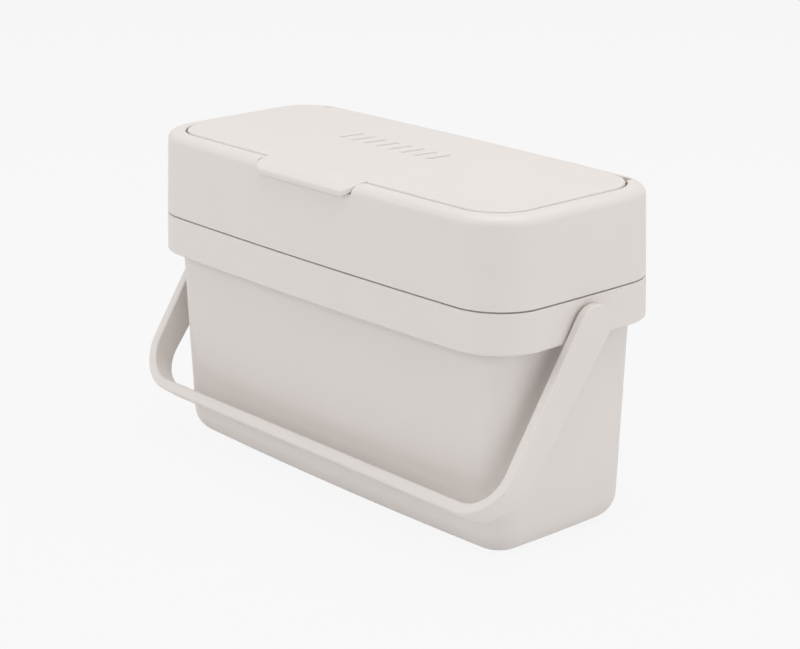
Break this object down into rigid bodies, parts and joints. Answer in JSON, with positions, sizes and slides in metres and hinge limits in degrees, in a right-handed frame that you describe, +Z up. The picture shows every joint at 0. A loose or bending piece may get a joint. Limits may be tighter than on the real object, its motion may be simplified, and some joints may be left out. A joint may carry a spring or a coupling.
{
  "type": "compost caddy",
  "caption": "Long tapered food-waste bucket with an overhanging collar, a lift-off hood, a flush vented lid with a filter under it, and a strap handle that swings over the top.",
  "frame": {"origin": "middle of the footprint, on the surface the caddy stands on", "axes": "+Z up, +X along the caddy's length to its right as seen from the front, -Y the front, which has the finger tab and the resting handle"},
  "size_m": [0.314, 0.1409, 0.1899],
  "materials": {
    "stone_plastic": "warm stone grey, fine satin grain",
    "inner_plastic": "the same grey, plain moulded",
    "pin_steel": "drawn wire",
    "carbon_foam": "open-cell foam loaded with carbon"
  },
  "bodies": {
    "bucket_body": {"bucket": "stone_plastic"},
    "hood_body": {"hood": "stone_plastic", "hinge_pin_left": "pin_steel", "hinge_pin_right": "pin_steel"},
    "lid_body": {"lid": "stone_plastic", "lid_liner": "inner_plastic", "carbon_filter": "carbon_foam"},
    "slider_body": {"vent_slider": "inner_plastic"},
    "cover_body": {"filter_cover": "inner_plastic"},
    "handle_body": {"handle": "stone_plastic"}
  },
  "joints": [
    {"name": "hood_lift", "type": "slide", "parent": "bucket_body", "child": "hood_body", "axis": [0, 0, 1], "range_m": [0, 0.06]},
    {"name": "lid_hinge", "type": "hinge", "parent": "hood_body", "child": "lid_body", "pos_m": [0, 0.0529, 0.1875], "axis": [-1, 0, 0], "range_deg": [0, 105]},
    {"name": "vent_slide", "type": "slide", "parent": "lid_body", "child": "slider_body", "axis": [1, 0, 0], "range_m": [0, 0.0053]},
    {"name": "filter_flap", "type": "hinge", "parent": "lid_body", "child": "cover_body", "pos_m": [0, 0.0325, 0.1734], "axis": [1, 0, 0], "range_deg": [0, 90]},
    {"name": "handle_swing", "type": "hinge", "parent": "bucket_body", "child": "handle_body", "pos_m": [0, 0, 0.125], "axis": [-1, 0, 0], "range_deg": [0, 289]}
  ]
}
